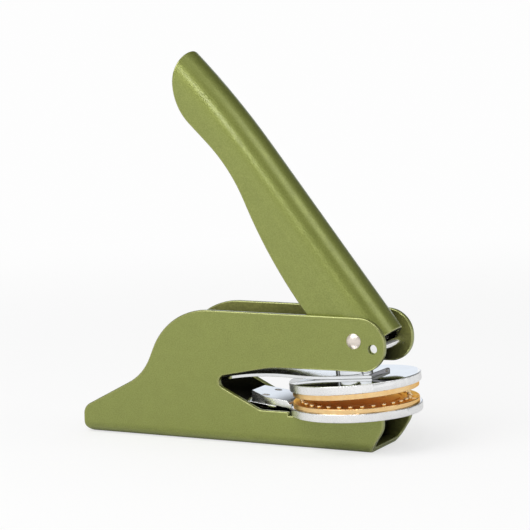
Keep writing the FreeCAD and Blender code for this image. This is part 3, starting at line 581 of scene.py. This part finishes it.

# %% [markdown]
# ## Frame and lever
#
# Both are one folded sheet. The frame is a channel whose cheeks swoop from a low nose to
# the arms that carry the rivet, and the lever is a half-round channel that swells to a
# grip. They could be drawn again from curves, but a softened copy keeps the imported shape
# exactly. What remains is to tell the inside, which gets the painted shade, from the outside.
# In the frame the inside lies between the cheeks and above the floor, and in the lever it
# faces the hollow; the cut face of the lever's front end gets the painted shade too.

# %% Inside of the frame and the lever
CHEEK_INSIDE, FLOOR_TOP = 0.01036, 0.00199
LEVER_LEAN = math.radians(52.2)
LEVER_OUT = Vector((math.sin(LEVER_LEAN), 0.0, math.cos(LEVER_LEAN)))
LEVER_ALONG = Vector((math.cos(LEVER_LEAN), 0.0, -math.sin(LEVER_LEAN)))
LEVER_PIVOT = Vector(next(j for j in frame["joints"] if j["name"] == "lever_pivot")["pos_m"])


def shaded_in_frame(face):
    """Whether a face lies on the inside of the folded frame, which gets the painted shade."""
    return all(abs(v.co.y) < CHEEK_INSIDE and v.co.z > FLOOR_TOP for v in face.verts)


def shaded_in_lever(face):
    """Whether a face gets painted shade: it faces the lever's hollow, or is its front cut face.
    """
    middle = face.calc_center_median()
    from_pivot = middle - LEVER_PIVOT
    rise = max(0.0, from_pivot.dot(LEVER_OUT))
    at_front = face.normal.dot(LEVER_ALONG) > 0.95 and from_pivot.dot(LEVER_ALONG) > 0.0
    return at_front or face.normal.y * middle.y + face.normal.dot(LEVER_OUT) * rise < -0.003


print("lever pivot:", [round(v, 4) for v in LEVER_PIVOT])

# %% [markdown]
# The cut edges are rounded and the rounding gets the thin paint, whose paleness is partly a
# painted highlight. The bores of the stop pin keep their sharp edge, because the pin fits
# them tightly.

# %% Frame and lever shells
PIN = sum(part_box("stop_pin"), Vector()) / 2
PIN_REACH = 0.003


def painted_shell(node, name, body, width, is_shaded, inside):
    """Softened copy of a folded sheet: paler cut edges, partly a painted highlight, and painted
    shade inside.
    """
    bm = merged_copy(node)
    # The fold's faces get the paint with the painted shade, the rest the olive paint.
    for face in bm.faces:
        face.material_index = 2 if is_shaded(face) else 0
    # The rounded cut edges get the thin paint with its painted highlight.
    for face in soften(bm, width, 3, wanted=lambda place: (place - PIN).xz.length > PIN_REACH):
        face.material_index = 1
    print(name, "outside, edge and inside faces:", count_finishes(bm))
    dress(put(bm, name, [PAINT, PAINT_THIN_EDGE_HIGHLIGHT, inside]), body, "body_paint", node)


painted_shell("frame_channel", "painted_frame", "root", 0.00045, shaded_in_frame, PAINT_FOLD_SHADE)
painted_shell("lever_channel", "painted_lever", "lever", 0.00040, shaded_in_lever, LEVER_FOLD_SHADE)

# %% [markdown]
# ## Plated and plain steel
#
# Plating copies the metal under it, so a polished face is a near mirror and a turned rim is
# duller. A perfect mirror would look like a hole in the picture. Real plating has hair-fine
# scratches and a faint cloud in its polish, so both are added to the colour, the roughness
# and a bump of a few thousandths of a millimetre.


# %% Plated metal
def plated(name, colour, roughness, scratch=0.04, depth=0.000004, slope=0.0):
    """Bright metal with hair-fine scratches and a faint cloud in its polish.

    A slope lets the polish fall away towards the open side, by that much per metre.
    """
    finish, tree, shader, place = start_finish(name, 1.0, roughness)
    cloud = spread(tree, grain(tree, place, 180.0, detail=3.0), 0.0, 1.0)
    hair = grain(tree, place, 900.0, (1.0, 6.0, 6.0), 3.0)
    tree.links.new(between(tree, cloud, colour, faded(colour, 0.92)),
                   shader.inputs["Base Color"])
    tree.links.new(spread(tree, hair, max(roughness - scratch, 0.02), roughness + scratch),
                   shader.inputs["Roughness"])
    if slope:
        hair = sum_of(tree, (hair, 1.0), (axis_of(tree, place, "Y"), slope / depth))
    add_relief(tree, shader, hair, depth)
    return finish


CHROME = plated("polished_chrome", (0.88, 0.90, 0.92), 0.05, 0.02, 0.000002)
CHROME_TOP = plated("polished_chrome_top", (0.88, 0.90, 0.92), 0.04, 0.015, 0.000002, 0.019)
CHROME_RIM = plated("turned_chrome_rim", (0.98, 0.98, 0.98), 0.28, 0.07, 0.000006)
NICKEL = plated("nickel_rivet", (0.90, 0.81, 0.73), 0.42, 0.06)
PIN_STEEL = plated("drawn_pin_steel", (0.97, 0.97, 0.96), 0.14, 0.05)
CAM_STEEL = plated("oiled_cam_steel", (0.16, 0.15, 0.14), 0.35, 0.08, 0.00001)
LEAF_STEEL = plated("blued_leaf_steel", (0.30, 0.31, 0.34), 0.28, 0.06)
print("plated:", [m.name for m in (CHROME, CHROME_TOP, CHROME_RIM, NICKEL, PIN_STEEL,
                                   CAM_STEEL, LEAF_STEEL)])

# %% [markdown]
# ## Holders and small steel parts
#
# The holders are turned discs with a broken edge, plated and polished, and the rest are
# pins, rivets, washers, a leaf and the cam. They could be turned again with a spin, but they
# are already exact in the pack and only want their edges. The holders' rims are told from
# their flat faces, because the lathe leaves them duller than the polished tops.

# %% Metal pieces
TAIL_START = -0.0235
UPRIGHT = 0.9
TAIL_CORNER = 0.3


def on_rim(face):
    """Whether a holder's face is on its upright rim, or on the cut corner of its tail."""
    return abs(face.normal.z) < UPRIGHT and (face.calc_center_median().x > TAIL_START
                                             or abs(face.normal.x) > TAIL_CORNER)


def metal_piece(node, name, body, slot, finish, width, rim=None, sharp=28.0):
    """Softened copy of a metal part, with a finish of its own for any rim."""
    bm = merged_copy(node)
    for face in bm.faces:
        face.material_index = 1 if rim and on_rim(face) else 0
    for face in soften(bm, width, 2, sharp):
        face.material_index = 1 if rim else 0
    dress(put(bm, name, [finish, rim] if rim else [finish]), body, slot, node)


metal_piece("lower_holder", "chrome_lower_holder", "die_clip", "chrome", CHROME, 0.00020,
            CHROME_RIM, 50.0)
metal_piece("upper_holder", "chrome_upper_holder", "upper_jaw", "chrome", CHROME_TOP, 0.00020,
            CHROME_RIM, 50.0)
metal_piece("press_boss", "chrome_press_boss", "upper_jaw", "chrome", CHROME, 0.00012)
metal_piece("press_cam", "steel_press_cam", "lever", "cam_steel", CAM_STEEL, 0.00030)
metal_piece("catch_spring", "steel_catch_leaf", "root", "spring_steel", LEAF_STEEL, 0.00010)
metal_piece("stop_pin", "bright_stop_pin", "root", "rivet_nickel", PIN_STEEL, 0.00010)
metal_piece("pivot_rivet", "domed_pivot_rivet", "root", "rivet_nickel", NICKEL, 0.00015)
metal_piece("cam_rivet", "nickel_cam_rivet", "lever", "rivet_nickel", NICKEL, 0.00010)
metal_piece("catch_rivet", "nickel_catch_rivet", "root", "rivet_nickel", NICKEL, 0.00010)
metal_piece("clip_rivets", "nickel_clip_rivets", "die_clip", "rivet_nickel", NICKEL, 0.00010)
metal_piece("lever_washers", "thin_lever_washers", "lever", "rivet_nickel", NICKEL, 0.00005)

# %% [markdown]
# ## The spring strip
#
# The strip's lower leg stays on the clip and its upper leg goes down with the upper jaw, so
# the hairpin between them has to bend. Two rigid halves would part there, and an armature
# would be a lot of machinery for one bend. Here the piece is one softened copy, baked in place
# and carried by no body. Its front lug is dull and darker, and the faces of its hole get a
# painted highlight.

# %% Spring strip
STRIP_STEEL = plated("plated_strip", (0.92, 0.93, 0.94), 0.10)
LUG_STEEL = plated("dull_lug_steel", (0.34, 0.34, 0.36), 0.34, 0.08)
LUG_REAR, LUG_HALF_WIDTH = 0.0088, 0.0006
LUG_HOLE, LUG_GLINT_REACH = Vector((0.01345, -0.0055, 0.02645)), 0.0005


def lug_finish(face):
    """Number of a strip face's finish: plated strip, dull lug, or painted highlight in the lug's
    hole.
    """
    middle = face.calc_center_median()
    if middle.x < LUG_REAR or abs(middle.y - LUG_HOLE.y) > LUG_HALF_WIDTH:
        return 0
    # Faces inside the lug's hole get bright nickel, a painted highlight of a glint.
    hole_glint = (middle - LUG_HOLE).xz.length < LUG_GLINT_REACH and abs(face.normal.y) < 0.5
    return 2 if hole_glint else 1


strip = merged_copy("clip_spring")
soften(strip, 0.00015, 2)
for face in strip.faces:
    face.material_index = lug_finish(face)
print("strip, lug and hole faces:", count_finishes(strip))
strip = put(strip, "plated_clip_strip", [STRIP_STEEL, LUG_STEEL, NICKEL])
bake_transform(strip)
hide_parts("clip_spring")
print(strip.name, "faces:", len(strip.data.polygons))

# %% [markdown]
# ## Turned brass
#
# Brass from a lathe has fine rings about the axis that it turned on. A ring texture could be
# drawn on each face, but noise along the distance from the axis gives rings on all of them
# at once. At a glancing angle plain metal turns white, and brass in a narrow gap is seen
# only at such angles, so its tint is kept there too.


# %% Turned brass
def turned_metal(name, colour, dark, roughness):
    """Metal with fine rings from the lathe about the upright axis, tinted at every angle."""
    finish, tree, shader, place = start_finish(name, 1.0, roughness)
    shader.inputs["Specular Tint"].default_value = (*colour, 1.0)
    flat = tree.nodes.new("ShaderNodeVectorMath")
    flat.operation = "MULTIPLY"
    flat.inputs[1].default_value = (1.0, 1.0, 0.0)
    tree.links.new(place, flat.inputs[0])
    rings = tree.nodes.new("ShaderNodeTexNoise")
    rings.noise_dimensions = "1D"
    rings.inputs["Scale"].default_value = 3500.0
    rings.inputs["Detail"].default_value = 2.0
    tree.links.new(length_of(tree, flat.outputs[0]), rings.inputs["W"])
    cloud = spread(tree, grain(tree, place, 400.0, detail=3.0), 0.0, 1.0)
    tree.links.new(between(tree, cloud, colour, dark), shader.inputs["Base Color"])
    tree.links.new(spread(tree, rings.outputs["Fac"], roughness - 0.06, roughness + 0.08),
                   shader.inputs["Roughness"])
    add_relief(tree, shader, rings.outputs["Fac"], 0.000006)
    return finish


BRASS = turned_metal("turned_brass", (1.00, 0.72, 0.37), (0.95, 0.62, 0.28), 0.28)
DIE_BROWN = turned_metal("lacquered_die_face", (1.00, 0.70, 0.28), (0.93, 0.56, 0.18), 0.32)
# Paler brass on the dots is a painted highlight for their glints; lower roughness makes them
# glossier.
DOT_BRASS_HIGHLIGHT = turned_metal("die_dots_painted_highlight", (1.00, 0.90, 0.68), (1.00, 0.80, 0.50), 0.22)
print("brass:", BRASS.name, DIE_BROWN.name, DOT_BRASS_HIGHLIGHT.name)

# %% [markdown]
# ## The brass dies
#
# A seal is cut as a pair: raised in one die and sunk in the other. The rims stay bright from
# the lathe and the faces are lacquered brown. The dots get a paler, glossier brass, which is a
# painted highlight for the glints that raised dots catch. One finish over the whole die would
# lose the dots, so faces are sorted by how far they lie from the axis. The rim and the dots are
# rounded in two passes, because a dot takes a wider rounding than the rim.

# %% Dies
DOT_RING, DOT_REACH = 0.0176, 0.0012
RIM_START = 0.0200
FACE_AREA = 0.00001


def die_piece(node, name, body, face_down):
    """Softened copy of a die with a brown face, bright rim, and a painted highlight on its dots
    or pits.
    """
    bm = merged_copy(node)
    axis = Vector((0.0, 0.0, -1.0 if face_down else 1.0))
    for face in bm.faces:
        middle = face.calc_center_median().xy.length
        if face.normal.dot(axis) > 0.9 and face.calc_area() > FACE_AREA:
            face.material_index = 1
        elif abs(middle - DOT_RING) < 0.0011:
            # Faces by the dot ring get the paler brass of the painted highlight.
            face.material_index = 2
    soften(bm, 0.00012, 2, 50.0, lambda place: place.xy.length > RIM_START)
    soften(bm, 0.00020, 3, wanted=lambda place: abs(place.xy.length - DOT_RING) < DOT_REACH)
    print(name, "rim, face and dot faces:", count_finishes(bm))
    dress(put(bm, name, [BRASS, DIE_BROWN, DOT_BRASS_HIGHLIGHT]), body, "die_brass", node)


die_piece("lower_die", "engraved_lower_die", "die_clip", False)
die_piece("upper_die", "engraved_upper_die", "upper_jaw", True)
